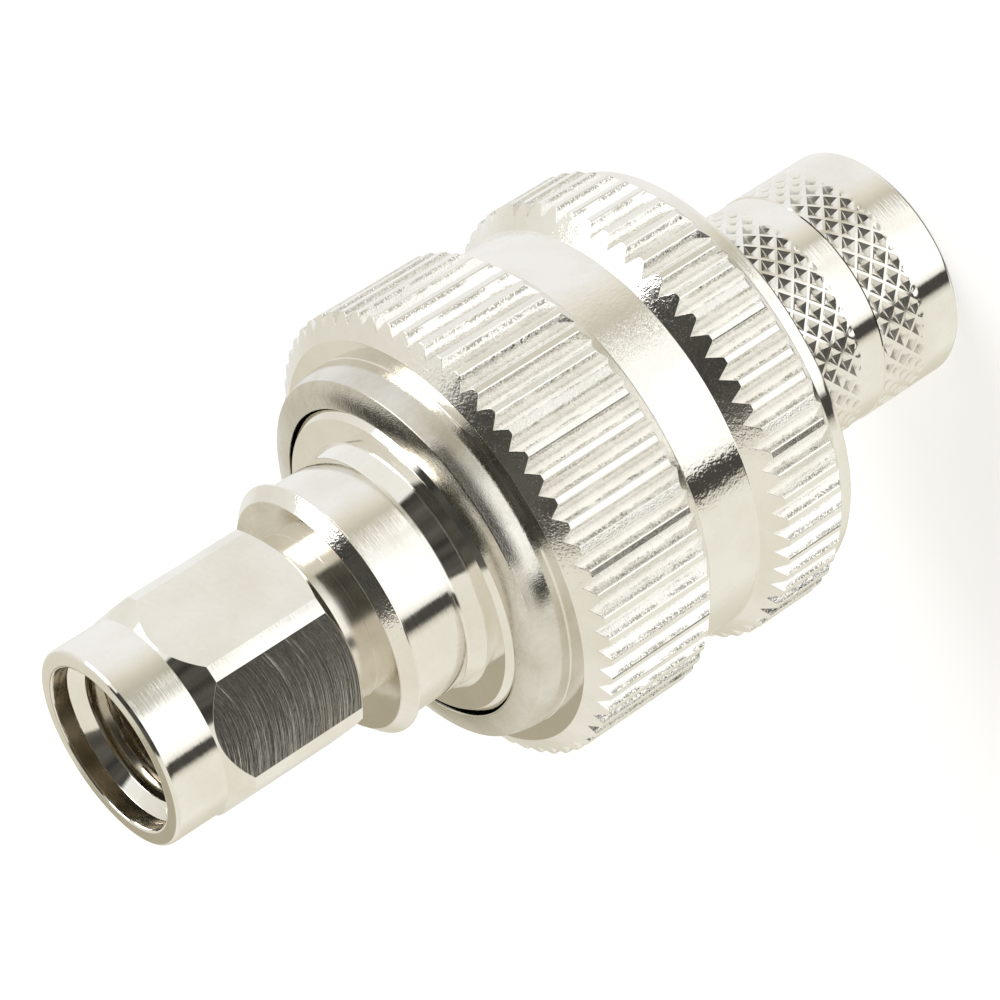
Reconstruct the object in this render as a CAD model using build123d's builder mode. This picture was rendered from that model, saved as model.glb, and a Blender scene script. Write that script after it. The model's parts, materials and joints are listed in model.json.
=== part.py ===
from build123d import *
from math import pi
import os

# Coaxial adapter: an SMA plug with a hexagonal coupling nut at the top, a large knurled
# coupling nut in the middle and a knurled socket sleeve at the bottom. Millimetres.
# The axis is +Z, the origin is the centre of the rear end face, on which it stands,
# and -Y is the side that shows one corner of the hexagon almost face on.

os.makedirs("parts", exist_ok=True)

# Clearances
RUNNING = 0.06  # radial, between pieces that turn or slide on each other
PRESSED = 0.02  # radial, between pieces pressed or cemented together
LOOSE = 0.09  # radial, round the disc in the collar
FACE = 0.05  # axial, between faces that slide past each other
SEATED = 0.02  # axial, between faces drawn up against each other

# Rear sleeve
SLEEVE_WALL = 0.80
SLEEVE_LENGTH = 10.40
SLEEVE_LIP = 1.80  # inward lip at the rear mouth
SLEEVE_EDGE = 0.15  # rounding of the rear rim
SLEEVE_CHAMFER = 0.30  # at the buried front end
PLAIN_END = 1.75  # smooth rear end
REAR_BAND = 2.10  # diamond knurl, left to the finish
WAIST = 1.20  # smooth band between the two knurls
WAIST_DEPTH = 0.04

# Rear socket, a 7 mm coaxial line with a 3.04 mm inner conductor
LINE_R = 3.50
LINE_RATIO = 2.303  # of the line to its conductor, for 50 ohms in air
MOUTH_STEP = 0.30  # the rear mouth is this much wider than the line, all round
STEM_WALL = 0.52
SOCKET_RECESS = 2.00  # rear mouth to the tip of the centre contact
BEAD_SETBACK = 3.80  # rear face of the rear bead to the sleeve's front end
BEAD = 2.60
BEAD_RING = 0.80
BEAD_RING_WALL = 0.60

# Threaded barrel of the rear body, 5/8-24, drawn at its pitch radius
THREAD_WALL = 0.60  # outside the gasket's groove
THREAD_PITCH = 25.4 / 24
THREAD_TURNS = 5.0
THREAD_CHAMFER = 0.35
THREAD_RELIEF = 0.40  # depth of the plain band behind the thread
BARREL_LENGTH = 9.35
GASKET_LAND = 0.84  # inside the gasket's groove
GASKET_WIDTH = 1.10
GASKET_DEPTH = 0.60

# Large coupling nut
NUT_OVERLAP = 1.00  # its rear rim covers this much of the sleeve
NUT_LIP = 0.60  # smooth rear rim
NUT_LIP_WALL = 0.80
NUT_LIP_ROUND = 0.15
TOOTH_DEPTH = 0.43
TEETH = 60
CREST_FLAT = 0.26  # width of a crest
TOOTH_PHASE = 2.05  # degrees from +X to a groove
REAR_CREST = 2.55  # length of the rear knurl's crests
BAND_SLOPE = 0.75  # sloped shoulder on each side of the waist groove
GROOVE_WALL = 0.45  # outside the counterbore
GROOVE_DROP = 0.37  # below the knurl's valleys
GROOVE = 2.45
FRONT_CHAMFER = 0.54
FRONT_CHAMFER_DROP = 0.90
COLLAR_STEP = 0.03  # the collar is this much wider than the nut's thread
COLLAR_LIFT = 0.82  # the nut's face above its inner shoulder
COLLAR_FOOT = 0.26  # height of the narrowed foot
COLLAR_FOOT_DROP = 0.16
COLLAR_WALL = 1.04  # height of the leaning wall
COLLAR_LEAN = 0.33
COLLAR_CROWN = 0.28  # rise of the rounded top
CROWN_BULGE = 0.05
COUNTERBORE_STEP = 0.29  # the plain mouth is this much wider than the nut's thread
COUNTERBORE = 4.00
LIP_SEAT = 1.20  # width of the shoulder that bears on the washer

# Front body, from the disc that fills the nut's collar to the plug's reference plane
DISC_PROUD = 0.10  # disc's face above the collar's top
DISC_CHAMFER = 0.25
FLANGE_SEAT = 1.20  # thickness of the captive flange
WASHER = 0.30
NECK_WALL = 1.30
SHOULDER_STEP = 0.27  # the shoulder's cone widens by this much
SHOULDER = 0.70
NECK = 2.44
RIM_STEP = 0.30
RIM = 0.54
RIM_CHAMFER = 0.46
COLLET_R = 3.34
COLLET = 0.99
SHANK_R = 2.70
SHANK = 3.25
PLUG_R = 2.30
PLUG = 1.30
PLUG_CHAMFER = 0.12

# SMA coupling nut, 1/4-36, drawn at its pitch radius
HEX_ACROSS = 8.00
HEX_PHASE = 33.4  # degrees from +X to a corner
LAND_R = 4.45  # corners turned down to this
HEX_LAND = 4.78
NUT_BACK_CHAMFER = 0.42
NUT_BACK_R = 3.93
NOSE_R = 3.95
NOSE = 2.15
NOSE_CONE = 0.85
NOSE_ROUND = 0.22
MOUTH_ROUND = 0.08
MOUTH_R = 3.28
MOUTH = 0.70
MOUTH_CONE = 0.40
SMA_THREAD_R = 2.85
SMA_THREAD_START = 2.70  # back of the nut to the end of its thread
RETAINER = 0.40
RETAINER_IN_R = 2.34
RETAINER_OUT_R = 2.98
RETAINER_GAP = 1.00
RETAINER_HEIGHT = 1.35  # above the back of the nut
RETAINER_PLAY = 0.12
SMA_GASKET = 0.55

# SMA centre line
SMA_LINE_R = 2.05
SMA_CORE_R = 0.635
SMA_PIN_R = 0.457
SMA_PIN = 1.45  # pin beyond the reference plane
SMA_PIN_TAPER = 0.35
TAIL_R = 0.40
TAIL = 1.20

# Joint between the halves
SPRING_STEP = 1.50  # outside the line
SPRING_WALL = 0.55
SPRING_REACH = 4.20
SPRING_ROOT = 1.10
SPRING_SLOTS = 6
SPRING_SLOT = 0.45
SPRING_SLIT = 3.30
JOINT_PIN_R = 0.80
JOINT_PIN = 4.60
JOINT_PIN_ROUND = 0.30
SOCKET_DEPTH = 5.20
SOCKET_SLOTS = 4
SOCKET_SLOT = 0.25
SOCKET_SLIT = 3.40
PLUG_BEAD = 1.60

# Radii that follow, from the line outwards
CONDUCTOR_R = LINE_R / LINE_RATIO
MOUTH_BORE_R = LINE_R + MOUTH_STEP
STEM_R = LINE_R + STEM_WALL
SLEEVE_BORE_R = STEM_R + PRESSED
SLEEVE_R = SLEEVE_BORE_R + SLEEVE_WALL
SPRING_OUT_R = LINE_R + SPRING_STEP
SPRING_BORE_R = SPRING_OUT_R + RUNNING
GASKET_IN_R = SPRING_BORE_R + GASKET_LAND
GASKET_OUT_R = GASKET_IN_R + GASKET_WIDTH
THREAD_R = GASKET_OUT_R + THREAD_WALL
RELIEF_R = THREAD_R - THREAD_RELIEF
NUT_THREAD_R = THREAD_R + RUNNING
COUNTERBORE_R = NUT_THREAD_R + COUNTERBORE_STEP
NUT_LIP_R = COUNTERBORE_R + NUT_LIP_WALL
GROOVE_R = COUNTERBORE_R + GROOVE_WALL
VALLEY_R = GROOVE_R + GROOVE_DROP
CREST_R = VALLEY_R + TOOTH_DEPTH
COLLAR_R = NUT_THREAD_R + COLLAR_STEP
FLANGE_R = NUT_THREAD_R - 2 * RUNNING
COLLAR_BORE_R = FLANGE_R - LIP_SEAT
DISC_R = COLLAR_BORE_R - LOOSE
NECK_R = LINE_R + NECK_WALL
SHOULDER_R = NECK_R + SHOULDER_STEP
RIM_R = NECK_R + RIM_STEP
SMA_NUT_BORE_R = SHANK_R + RUNNING
SMA_NUT_GROOVE_R = RETAINER_OUT_R + RETAINER_PLAY
SHANK_GROOVE_R = RETAINER_IN_R - PRESSED
JOINT_BORE_R = JOINT_PIN_R + RUNNING
GROOVE_OUT_R = CREST_R + TOOTH_DEPTH
GROOVE_HALF = 2 * (pi * CREST_R / TEETH - CREST_FLAT / 2)

# Heights that follow, from the rear end up
BARREL_TOP = SLEEVE_LENGTH + BARREL_LENGTH
THREAD_LENGTH = THREAD_TURNS * THREAD_PITCH + 2 * THREAD_CHAMFER
BEAD_START = SLEEVE_LENGTH - BEAD_SETBACK
FLANGE_BOTTOM = BARREL_TOP + SEATED
FLANGE_TOP = FLANGE_BOTTOM + FLANGE_SEAT
WASHER_TOP = FLANGE_TOP + WASHER
LIP_BOTTOM = WASHER_TOP + FACE
NUT_REAR = SLEEVE_LENGTH - NUT_OVERLAP
REAR_CREST_START = NUT_REAR + NUT_LIP + (CREST_R - NUT_LIP_R)
REAR_CREST_END = REAR_CREST_START + REAR_CREST
GROOVE_START = REAR_CREST_END + BAND_SLOPE
GROOVE_END = GROOVE_START + GROOVE
FRONT_CREST_START = GROOVE_END + BAND_SLOPE
NUT_FACE = LIP_BOTTOM + COLLAR_LIFT
FRONT_CREST_END = NUT_FACE - FRONT_CHAMFER
COLLAR_LINE = NUT_FACE + COLLAR_FOOT
CROWN_START = COLLAR_LINE + COLLAR_WALL
COLLAR_TOP = CROWN_START + COLLAR_CROWN
DISC_TOP = COLLAR_TOP + DISC_PROUD
SHOULDER_TOP = DISC_TOP + SHOULDER
NECK_TOP = SHOULDER_TOP + NECK
RIM_TOP = NECK_TOP + RIM
COLLET_TOP = RIM_TOP + COLLET
SHANK_TOP = COLLET_TOP + SHANK
PLUG_TOP = SHANK_TOP + PLUG
SMA_NUT_BACK = COLLET_TOP + 3 * FACE
HEX_LAND_START = SMA_NUT_BACK + NUT_BACK_CHAMFER
HEX_LAND_END = HEX_LAND_START + HEX_LAND
NOSE_START = HEX_LAND_END + NOSE_CONE
MOUTH_TOP = NOSE_START + NOSE
THREAD_END = SMA_NUT_BACK + SMA_THREAD_START


def ring(outer, inner, base, height):
    """A plain ring about the axis."""
    with BuildPart() as piece:
        with BuildSketch(Plane.XY.offset(base)):
            Circle(outer)
            Circle(inner, mode=Mode.SUBTRACT)
        extrude(amount=height)
    return piece


def finish(piece, name):
    """Labels a piece and writes its file."""
    piece.part.label = name
    export_step(piece.part, f"parts/{name}.step")


# Rear sleeve: the grip round the socket, with its waist between the two knurled bands
WAIST_START = PLAIN_END + REAR_BAND
WAIST_END = WAIST_START + WAIST
with BuildPart() as rear_sleeve:
    with BuildSketch(Plane.XZ):
        with BuildLine():
            Polyline(
                (MOUTH_BORE_R, 0),
                (SLEEVE_R, 0),
                (SLEEVE_R, WAIST_START),
                (SLEEVE_R - WAIST_DEPTH, WAIST_START),
                (SLEEVE_R - WAIST_DEPTH, WAIST_END),
                (SLEEVE_R, WAIST_END),
                (SLEEVE_R, SLEEVE_LENGTH - SLEEVE_CHAMFER),
                (SLEEVE_R - SLEEVE_CHAMFER, SLEEVE_LENGTH),
                (SLEEVE_BORE_R, SLEEVE_LENGTH),
                (SLEEVE_BORE_R, SLEEVE_LIP),
                (MOUTH_BORE_R, SLEEVE_LIP),
                close=True,
            )
        make_face()
    revolve(axis=Axis.Z)
    fillet(rear_sleeve.edges().group_by(Axis.Z)[0].sort_by(SortBy.RADIUS)[-1], SLEEVE_EDGE)
    chamfer(rear_sleeve.edges().group_by(Axis.Z)[0].sort_by(SortBy.RADIUS)[0], SLEEVE_EDGE)
finish(rear_sleeve, "rear_sleeve")

# Rear body: stem inside the sleeve, then the threaded barrel that the large nut draws on
THREAD_START = BARREL_TOP - THREAD_LENGTH
SPRING_SEAT = BARREL_TOP - SPRING_REACH - 4 * FACE
with BuildPart() as rear_body:
    with BuildSketch(Plane.XZ):
        with BuildLine():
            Polyline(
                (LINE_R, SLEEVE_LIP),
                (STEM_R, SLEEVE_LIP),
                (STEM_R, SLEEVE_LENGTH),
                (RELIEF_R, SLEEVE_LENGTH),
                (RELIEF_R, THREAD_START),
                (THREAD_R - THREAD_CHAMFER, THREAD_START),
                (THREAD_R, THREAD_START + THREAD_CHAMFER),
                (THREAD_R, BARREL_TOP - THREAD_CHAMFER),
                (THREAD_R - THREAD_CHAMFER, BARREL_TOP),
                (GASKET_OUT_R, BARREL_TOP),
                (GASKET_OUT_R, BARREL_TOP - GASKET_DEPTH),
                (GASKET_IN_R, BARREL_TOP - GASKET_DEPTH),
                (GASKET_IN_R, BARREL_TOP),
                (SPRING_BORE_R, BARREL_TOP),
                (SPRING_BORE_R, SPRING_SEAT),
                (LINE_R, SPRING_SEAT),
                close=True,
            )
        make_face()
    revolve(axis=Axis.Z)
finish(rear_body, "rear_body")

# Seal in the barrel's front face
face_gasket = ring(
    GASKET_OUT_R - PRESSED, GASKET_IN_R + PRESSED, BARREL_TOP - GASKET_DEPTH, GASKET_DEPTH
)
finish(face_gasket, "face_gasket")

# Beads that carry the centre contact, each held by a pressed ring
FRONT_BEAD_START = SPRING_SEAT - BEAD_RING - BEAD
BEAD_R = LINE_R - PRESSED
BEAD_BORE_R = CONDUCTOR_R + PRESSED
rear_bead = ring(BEAD_R, BEAD_BORE_R, BEAD_START, BEAD)
finish(rear_bead, "rear_bead")
rear_bead_ring = ring(BEAD_R, BEAD_R - BEAD_RING_WALL, BEAD_START - BEAD_RING, BEAD_RING)
finish(rear_bead_ring, "rear_bead_ring")
front_bead = ring(BEAD_R, BEAD_BORE_R, FRONT_BEAD_START, BEAD)
finish(front_bead, "front_bead")
front_bead_ring = ring(BEAD_R, BEAD_R - BEAD_RING_WALL, FRONT_BEAD_START + BEAD, BEAD_RING)
finish(front_bead_ring, "front_bead_ring")

# Centre contact: a rod with a slotted socket at both ends
CONTACT_TOP = BARREL_TOP - 3 * FACE
with BuildPart() as centre_contact:
    with BuildSketch(Plane.XY.offset(SOCKET_RECESS)):
        Circle(CONDUCTOR_R)
    extrude(amount=CONTACT_TOP - SOCKET_RECESS)
    with BuildSketch(Plane.XY.offset(SOCKET_RECESS)):
        Circle(JOINT_BORE_R)
    extrude(amount=SOCKET_DEPTH, mode=Mode.SUBTRACT)
    with BuildSketch(Plane.XY.offset(CONTACT_TOP - SOCKET_DEPTH)):
        Circle(JOINT_BORE_R)
    extrude(amount=SOCKET_DEPTH, mode=Mode.SUBTRACT)
    for slit_base in (SOCKET_RECESS, CONTACT_TOP - SOCKET_SLIT):
        with BuildSketch(Plane.XY.offset(slit_base)):
            with PolarLocations(CONDUCTOR_R, SOCKET_SLOTS):
                Rectangle(2 * (CONDUCTOR_R - JOINT_BORE_R / 2), SOCKET_SLOT)
        extrude(amount=SOCKET_SLIT, mode=Mode.SUBTRACT)
finish(centre_contact, "centre_contact")

# Front body: captive flange, disc, neck, rim and the plug's outer contact, in one turning
SPRING_SOCKET_TOP = FLANGE_BOTTOM + SPRING_ROOT
LINE_TOP = SHOULDER_TOP
RETAINER_BOTTOM = SMA_NUT_BACK + RETAINER_HEIGHT
with BuildPart() as front_body:
    with BuildSketch(Plane.XZ):
        with BuildLine():
            Polyline(
                (SPRING_OUT_R + PRESSED, FLANGE_BOTTOM),
                (FLANGE_R, FLANGE_BOTTOM),
                (FLANGE_R, FLANGE_TOP),
                (DISC_R, FLANGE_TOP),
                (DISC_R, DISC_TOP - DISC_CHAMFER),
                (DISC_R - DISC_CHAMFER, DISC_TOP),
                (SHOULDER_R, DISC_TOP),
                (NECK_R, SHOULDER_TOP),
                (NECK_R, NECK_TOP),
                (RIM_R, NECK_TOP),
                (RIM_R, RIM_TOP - RIM_CHAMFER),
                (RIM_R - RIM_CHAMFER, RIM_TOP),
                (COLLET_R, RIM_TOP),
                (COLLET_R, COLLET_TOP),
                (SHANK_R, COLLET_TOP),
                (SHANK_R, RETAINER_BOTTOM - PRESSED),
                (SHANK_GROOVE_R, RETAINER_BOTTOM - PRESSED),
                (SHANK_GROOVE_R, RETAINER_BOTTOM + RETAINER + PRESSED),
                (SHANK_R, RETAINER_BOTTOM + RETAINER + PRESSED),
                (SHANK_R, SHANK_TOP),
                (PLUG_R, SHANK_TOP),
                (PLUG_R, PLUG_TOP - PLUG_CHAMFER),
                (PLUG_R - PLUG_CHAMFER, PLUG_TOP),
                (SMA_LINE_R, PLUG_TOP),
                (SMA_LINE_R, LINE_TOP),
                (LINE_R, LINE_TOP),
                (LINE_R, SPRING_SOCKET_TOP),
                (SPRING_OUT_R + PRESSED, SPRING_SOCKET_TOP),
                close=True,
            )
        make_face()
    revolve(axis=Axis.Z)
finish(front_body, "front_body")

# Slip washer between the captive flange and the large nut's shoulder
slip_washer = ring(FLANGE_R - RUNNING, DISC_R + RUNNING, FLANGE_TOP, WASHER)
finish(slip_washer, "slip_washer")

# Slotted spring sleeve: the outer contact between the halves
with BuildPart() as spring_sleeve:
    with BuildSketch(Plane.XY.offset(BARREL_TOP - SPRING_REACH)):
        Circle(SPRING_OUT_R)
        Circle(SPRING_OUT_R - SPRING_WALL, mode=Mode.SUBTRACT)
    extrude(amount=SPRING_SOCKET_TOP - BARREL_TOP + SPRING_REACH)
    with BuildSketch(Plane.XY.offset(BARREL_TOP - SPRING_REACH)):
        with PolarLocations(SPRING_OUT_R, SPRING_SLOTS):
            Rectangle(4 * SPRING_WALL, SPRING_SLOT)
    extrude(amount=SPRING_SLIT, mode=Mode.SUBTRACT)
finish(spring_sleeve, "spring_sleeve")

# Centre conductor of the front half: a rod with the pin that enters the centre contact
PIN_SHOULDER = BARREL_TOP + 2 * FACE
CORE_TOP = LINE_TOP - 4 * FACE
with BuildPart() as centre_conductor:
    with BuildSketch(Plane.XZ):
        with BuildLine():
            Polyline(
                (0, PIN_SHOULDER - JOINT_PIN),
                (JOINT_PIN_R, PIN_SHOULDER - JOINT_PIN),
                (JOINT_PIN_R, PIN_SHOULDER),
                (CONDUCTOR_R, PIN_SHOULDER),
                (CONDUCTOR_R, CORE_TOP),
                (TAIL_R + PRESSED, CORE_TOP),
                (TAIL_R + PRESSED, CORE_TOP - TAIL),
                (0, CORE_TOP - TAIL),
                close=True,
            )
        make_face()
    revolve(axis=Axis.Z)
    fillet(centre_conductor.edges().filter_by(GeomType.CIRCLE).group_by(Axis.Z)[0], JOINT_PIN_ROUND)
finish(centre_conductor, "centre_conductor")

# Bead and ring round the centre conductor
plug_bead = ring(BEAD_R, BEAD_BORE_R, SPRING_SOCKET_TOP, PLUG_BEAD)
finish(plug_bead, "plug_bead")
plug_bead_ring = ring(
    BEAD_R, BEAD_R - BEAD_RING_WALL, SPRING_SOCKET_TOP + PLUG_BEAD, BEAD_RING
)
finish(plug_bead_ring, "plug_bead_ring")

# SMA insulator and centre pin
sma_insulator = ring(SMA_LINE_R - PRESSED, SMA_CORE_R + PRESSED, LINE_TOP, PLUG_TOP - LINE_TOP)
finish(sma_insulator, "sma_insulator")
with BuildPart() as sma_pin:
    with BuildSketch(Plane.XZ):
        with BuildLine():
            Polyline(
                (0, CORE_TOP - TAIL + FACE),
                (TAIL_R, CORE_TOP - TAIL + FACE),
                (TAIL_R, CORE_TOP),
                (SMA_CORE_R, CORE_TOP),
                (SMA_CORE_R, PLUG_TOP),
                (SMA_PIN_R, PLUG_TOP),
                (SMA_PIN_R, PLUG_TOP + SMA_PIN - SMA_PIN_TAPER),
                (SMA_PIN_R / 2, PLUG_TOP + SMA_PIN),
                (0, PLUG_TOP + SMA_PIN),
                close=True,
            )
        make_face()
    revolve(axis=Axis.Z)
finish(sma_pin, "sma_pin")

# Seal on the plug's shoulder
sma_gasket = ring(SHANK_R, PLUG_R + PRESSED, SHANK_TOP, SMA_GASKET)
finish(sma_gasket, "sma_gasket")

# Split ring that holds the SMA nut on its shank
with BuildPart() as retaining_ring:
    with BuildSketch(Plane.XY.offset(RETAINER_BOTTOM)):
        Circle(RETAINER_OUT_R)
        Circle(RETAINER_IN_R, mode=Mode.SUBTRACT)
        with Locations((0, RETAINER_OUT_R)):
            Rectangle(RETAINER_GAP, 2 * (RETAINER_OUT_R - RETAINER_IN_R / 2), mode=Mode.SUBTRACT)
    extrude(amount=RETAINER)
finish(retaining_ring, "retaining_ring")

# SMA nut: turned nose, hexagon with its corners turned to a land and both ends coned
with BuildPart() as sma_nut:
    with BuildSketch(Plane.XZ):
        with BuildLine():
            Polyline(
                (SMA_NUT_BORE_R, SMA_NUT_BACK),
                (NUT_BACK_R, SMA_NUT_BACK),
                (LAND_R, HEX_LAND_START),
                (LAND_R, HEX_LAND_END),
                (NOSE_R, NOSE_START),
                (NOSE_R, MOUTH_TOP),
                (MOUTH_R, MOUTH_TOP),
                (MOUTH_R, MOUTH_TOP - MOUTH),
                (SMA_THREAD_R, MOUTH_TOP - MOUTH - MOUTH_CONE),
                (SMA_THREAD_R, THREAD_END),
                (SMA_NUT_BORE_R, THREAD_END),
                (SMA_NUT_BORE_R, RETAINER_BOTTOM + RETAINER + RETAINER_PLAY),
                (SMA_NUT_GROOVE_R, RETAINER_BOTTOM + RETAINER + RETAINER_PLAY),
                (SMA_NUT_GROOVE_R, RETAINER_BOTTOM - RETAINER_PLAY),
                (SMA_NUT_BORE_R, RETAINER_BOTTOM - RETAINER_PLAY),
                close=True,
            )
        make_face()
    revolve(axis=Axis.Z)
    rim_edges = sma_nut.edges().filter_by(GeomType.CIRCLE).group_by(Axis.Z)[-1]
    fillet(rim_edges.sort_by(SortBy.RADIUS)[-1], NOSE_ROUND)
    rim_edges = sma_nut.edges().filter_by(GeomType.CIRCLE).group_by(Axis.Z)[-1]
    fillet(rim_edges.sort_by(SortBy.RADIUS)[0], MOUTH_ROUND)
    with BuildSketch(Plane.XY.offset(SMA_NUT_BACK)):
        RegularPolygon(HEX_ACROSS / 2, 6, major_radius=False, rotation=HEX_PHASE)
    extrude(amount=MOUTH_TOP - SMA_NUT_BACK, mode=Mode.INTERSECT)
finish(sma_nut, "sma_nut")

# Large coupling nut: collar, two bands of straight knurl and a smooth groove between them
with BuildPart() as coupling_nut:
    with BuildSketch(Plane.XZ):
        with BuildLine():
            Polyline(
                (COLLAR_R - COLLAR_LEAN, CROWN_START),
                (COLLAR_R, COLLAR_LINE),
                (COLLAR_R - COLLAR_FOOT_DROP, NUT_FACE),
                (CREST_R - FRONT_CHAMFER_DROP, NUT_FACE),
                (CREST_R, FRONT_CREST_END),
                (CREST_R, FRONT_CREST_START),
                (GROOVE_R, GROOVE_END),
                (GROOVE_R, GROOVE_START),
                (CREST_R, REAR_CREST_END),
                (CREST_R, REAR_CREST_START),
                (NUT_LIP_R, NUT_REAR + NUT_LIP),
                (NUT_LIP_R, NUT_REAR),
                (COUNTERBORE_R, NUT_REAR),
                (COUNTERBORE_R, NUT_REAR + COUNTERBORE),
                (NUT_THREAD_R, NUT_REAR + COUNTERBORE),
                (NUT_THREAD_R, LIP_BOTTOM),
                (COLLAR_BORE_R, LIP_BOTTOM),
                (COLLAR_BORE_R, COLLAR_TOP),
            )
            SagittaArc(
                (COLLAR_BORE_R, COLLAR_TOP),
                (COLLAR_R - COLLAR_LEAN, CROWN_START),
                -CROWN_BULGE,
            )
        make_face()
    revolve(axis=Axis.Z)
    rear_edges = coupling_nut.edges().filter_by(GeomType.CIRCLE).group_by(Axis.Z)[0]
    fillet(rear_edges.sort_by(SortBy.RADIUS)[-1], NUT_LIP_ROUND)
    # The V grooves run the whole length and meet only the two bands
    with BuildSketch(Plane.XY.offset(NUT_REAR)):
        with PolarLocations(0, TEETH, start_angle=TOOTH_PHASE):
            Polygon(
                (VALLEY_R, 0),
                (GROOVE_OUT_R, GROOVE_HALF),
                (GROOVE_OUT_R, -GROOVE_HALF),
                align=None,
            )
    extrude(amount=NUT_FACE - NUT_REAR, mode=Mode.SUBTRACT)
finish(coupling_nut, "coupling_nut")
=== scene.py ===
import json
import math

import bpy
from mathutils import Matrix, Vector


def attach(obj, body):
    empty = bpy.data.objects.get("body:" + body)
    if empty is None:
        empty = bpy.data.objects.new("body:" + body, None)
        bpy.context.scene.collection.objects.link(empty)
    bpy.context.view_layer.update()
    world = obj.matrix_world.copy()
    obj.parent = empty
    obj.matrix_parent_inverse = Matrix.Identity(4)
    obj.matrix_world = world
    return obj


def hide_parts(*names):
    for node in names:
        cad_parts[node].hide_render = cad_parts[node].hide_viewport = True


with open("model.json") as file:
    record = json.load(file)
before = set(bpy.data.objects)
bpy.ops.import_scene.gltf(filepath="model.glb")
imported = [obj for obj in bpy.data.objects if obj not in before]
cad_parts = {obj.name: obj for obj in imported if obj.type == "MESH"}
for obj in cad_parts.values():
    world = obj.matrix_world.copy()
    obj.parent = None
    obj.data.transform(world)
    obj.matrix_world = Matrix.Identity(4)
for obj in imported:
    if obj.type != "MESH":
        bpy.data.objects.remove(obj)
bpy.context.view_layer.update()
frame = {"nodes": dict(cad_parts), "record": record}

# Coaxial adapter standing on its rear end: the hexagonal plug nut at the top, the large
# knurled nut in the middle, the diamond-knurled sleeve at the bottom. Sizes are in
# millimetres, as radius and height on the common axis, and the meshes are in metres.
MM = 0.001
MM_PER_METRE = 1000.0
nodes = frame["nodes"]

# Hexagonal nut
HEX_HALF = 4.00
HEX_FLAT_AT = 3.4  # degrees from +X to the middle of a flat
CORNER_R = 4.45
NUT_BORE_R = 2.76
NUT_BACK = 28.64
NUT_BACK_R = 3.93
LAND_START = 29.06
LAND_END = 33.84
RING_ROOM_R = 3.10
RING_ROOM_START = 29.86
SMA_THREAD_ROOT = 3.14
SMA_THREAD_CREST = 2.80
SMA_PITCH = 25.4 / 36
SMA_THREAD_END = 31.34
NOSE_R = 3.95
NOSE_START = 34.69
MOUTH_R = 3.28
MOUTH_TOP = 36.84
MOUTH_STEP = 0.70
MOUTH_CONE = 0.42
STEP_FLOOR = MOUTH_TOP - MOUTH_STEP
SMA_THREAD_TOP = STEP_FLOOR - MOUTH_CONE

# Front half's turning, from its captive flange up to the plug contact
FLANGE_R = 7.54
FLANGE_START = 19.77
FLANGE_TOP = 20.97
SPRING_ROOM_R = 5.02
SPRING_ROOM_TOP = 20.87
LINE_BORE_R = 3.50
DISC_R = 6.25
DISC_TOP = 23.82
DISC_BEVEL = 0.25
SHOULDER_R = 5.07
SHOULDER_TOP = 23.87
NECK_R = 4.80
NECK_START = 24.52
RIM_R = 5.10
RIM_START = 26.96
RIM_LAND_END = 27.04
RIM_FACE_R = 4.64
RIM_FACE = 27.50
COLLET_R = 3.34
COLLET_TOP = 28.49
SHANK_R = 2.70
SHANK_TOP = 31.74
SPLIT_RING_R = 2.32
SPLIT_RING_START = 29.97
SPLIT_RING_TOP = 30.41
CONTACT_R = 2.30
CONTACT_BORE_R = 2.05
CONTACT_TOP = 33.04

# Large knurled nut
TEETH = 60
TOOTH_STEP = 360.0 / TEETH
VALLEY_AT = 2.05  # degrees from +X to the bottom of a groove
CREST_R = 9.20
VALLEY_R = 8.77
CREST_FLAT = 0.26
RING_BACK = 9.40
RING_BACK_R = 8.75
RING_BACK_EASE = 0.45
RING_MOUTH_R = 7.95
RING_LIP_TOP = 10.00
REAR_BAND_START = 10.45
REAR_BAND_END = 13.00
GROOVE_R = 8.40
GROOVE_START = 13.75
GROOVE_END = 16.20
FRONT_BAND_START = 16.95
FRONT_BAND_END = 21.60
LEDGE_R = 8.30
LEDGE = 22.14
COLLAR_R = 7.58
COLLAR_TOP = 23.44
COLLAR_LEANS = (-5.0, 24.0)  # degrees off the axis at the wall's foot and at its top
CROWN_R = 7.37
CROWN_TOP = 23.72
CROWN_BULGE = 0.03
COLLAR_BORE_R = 6.34
FLANGE_ROOM_TOP = 21.32
RING_THREAD_R = 7.66
RING_THREAD_START = 13.40

# Rear sleeve and the diamond pits of its grip
SLEEVE_R = 4.84
SLEEVE_LIP_R = 3.80
STEM_START = 1.80
STEM_BORE_R = 4.04
PLAIN_END = 1.75
WAIST_START = 3.85
WAIST_END = 5.05
WAIST_DEPTH = 0.04
GRIP_TOP = 10.10
SLEEVE_TOP = 10.40
GRIP_BANDS = [(PLAIN_END, WAIST_START), (WAIST_END, GRIP_TOP)]
PITS = 32
PIT_ROW = 0.41
PIT_DEPTH = 0.15
PIT_STEPS = 6  # steps of the fine grid from one pit's column to the next
PIT_HEIGHT = 5.77  # height of a row of pit centres
PIT_AT = 0.8  # degrees from +X to a column of pit centres

# Rear body: stem and threaded barrel
STEM_R = 4.02
RELIEF_R = 7.20
BARREL_CREST = 7.60
BARREL_ROOT = 7.26
BARREL_PITCH = 25.4 / 24
BARREL_START = 13.758
BARREL_TOP = 19.75
BARREL_RUNOUT = 0.35
BARREL_LIP_R = 7.00
RECESS_R = 5.90
RECESS_FLOOR = 19.15
SPRING_BORE_R = 5.06
SPRING_FLOOR = 15.35

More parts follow.
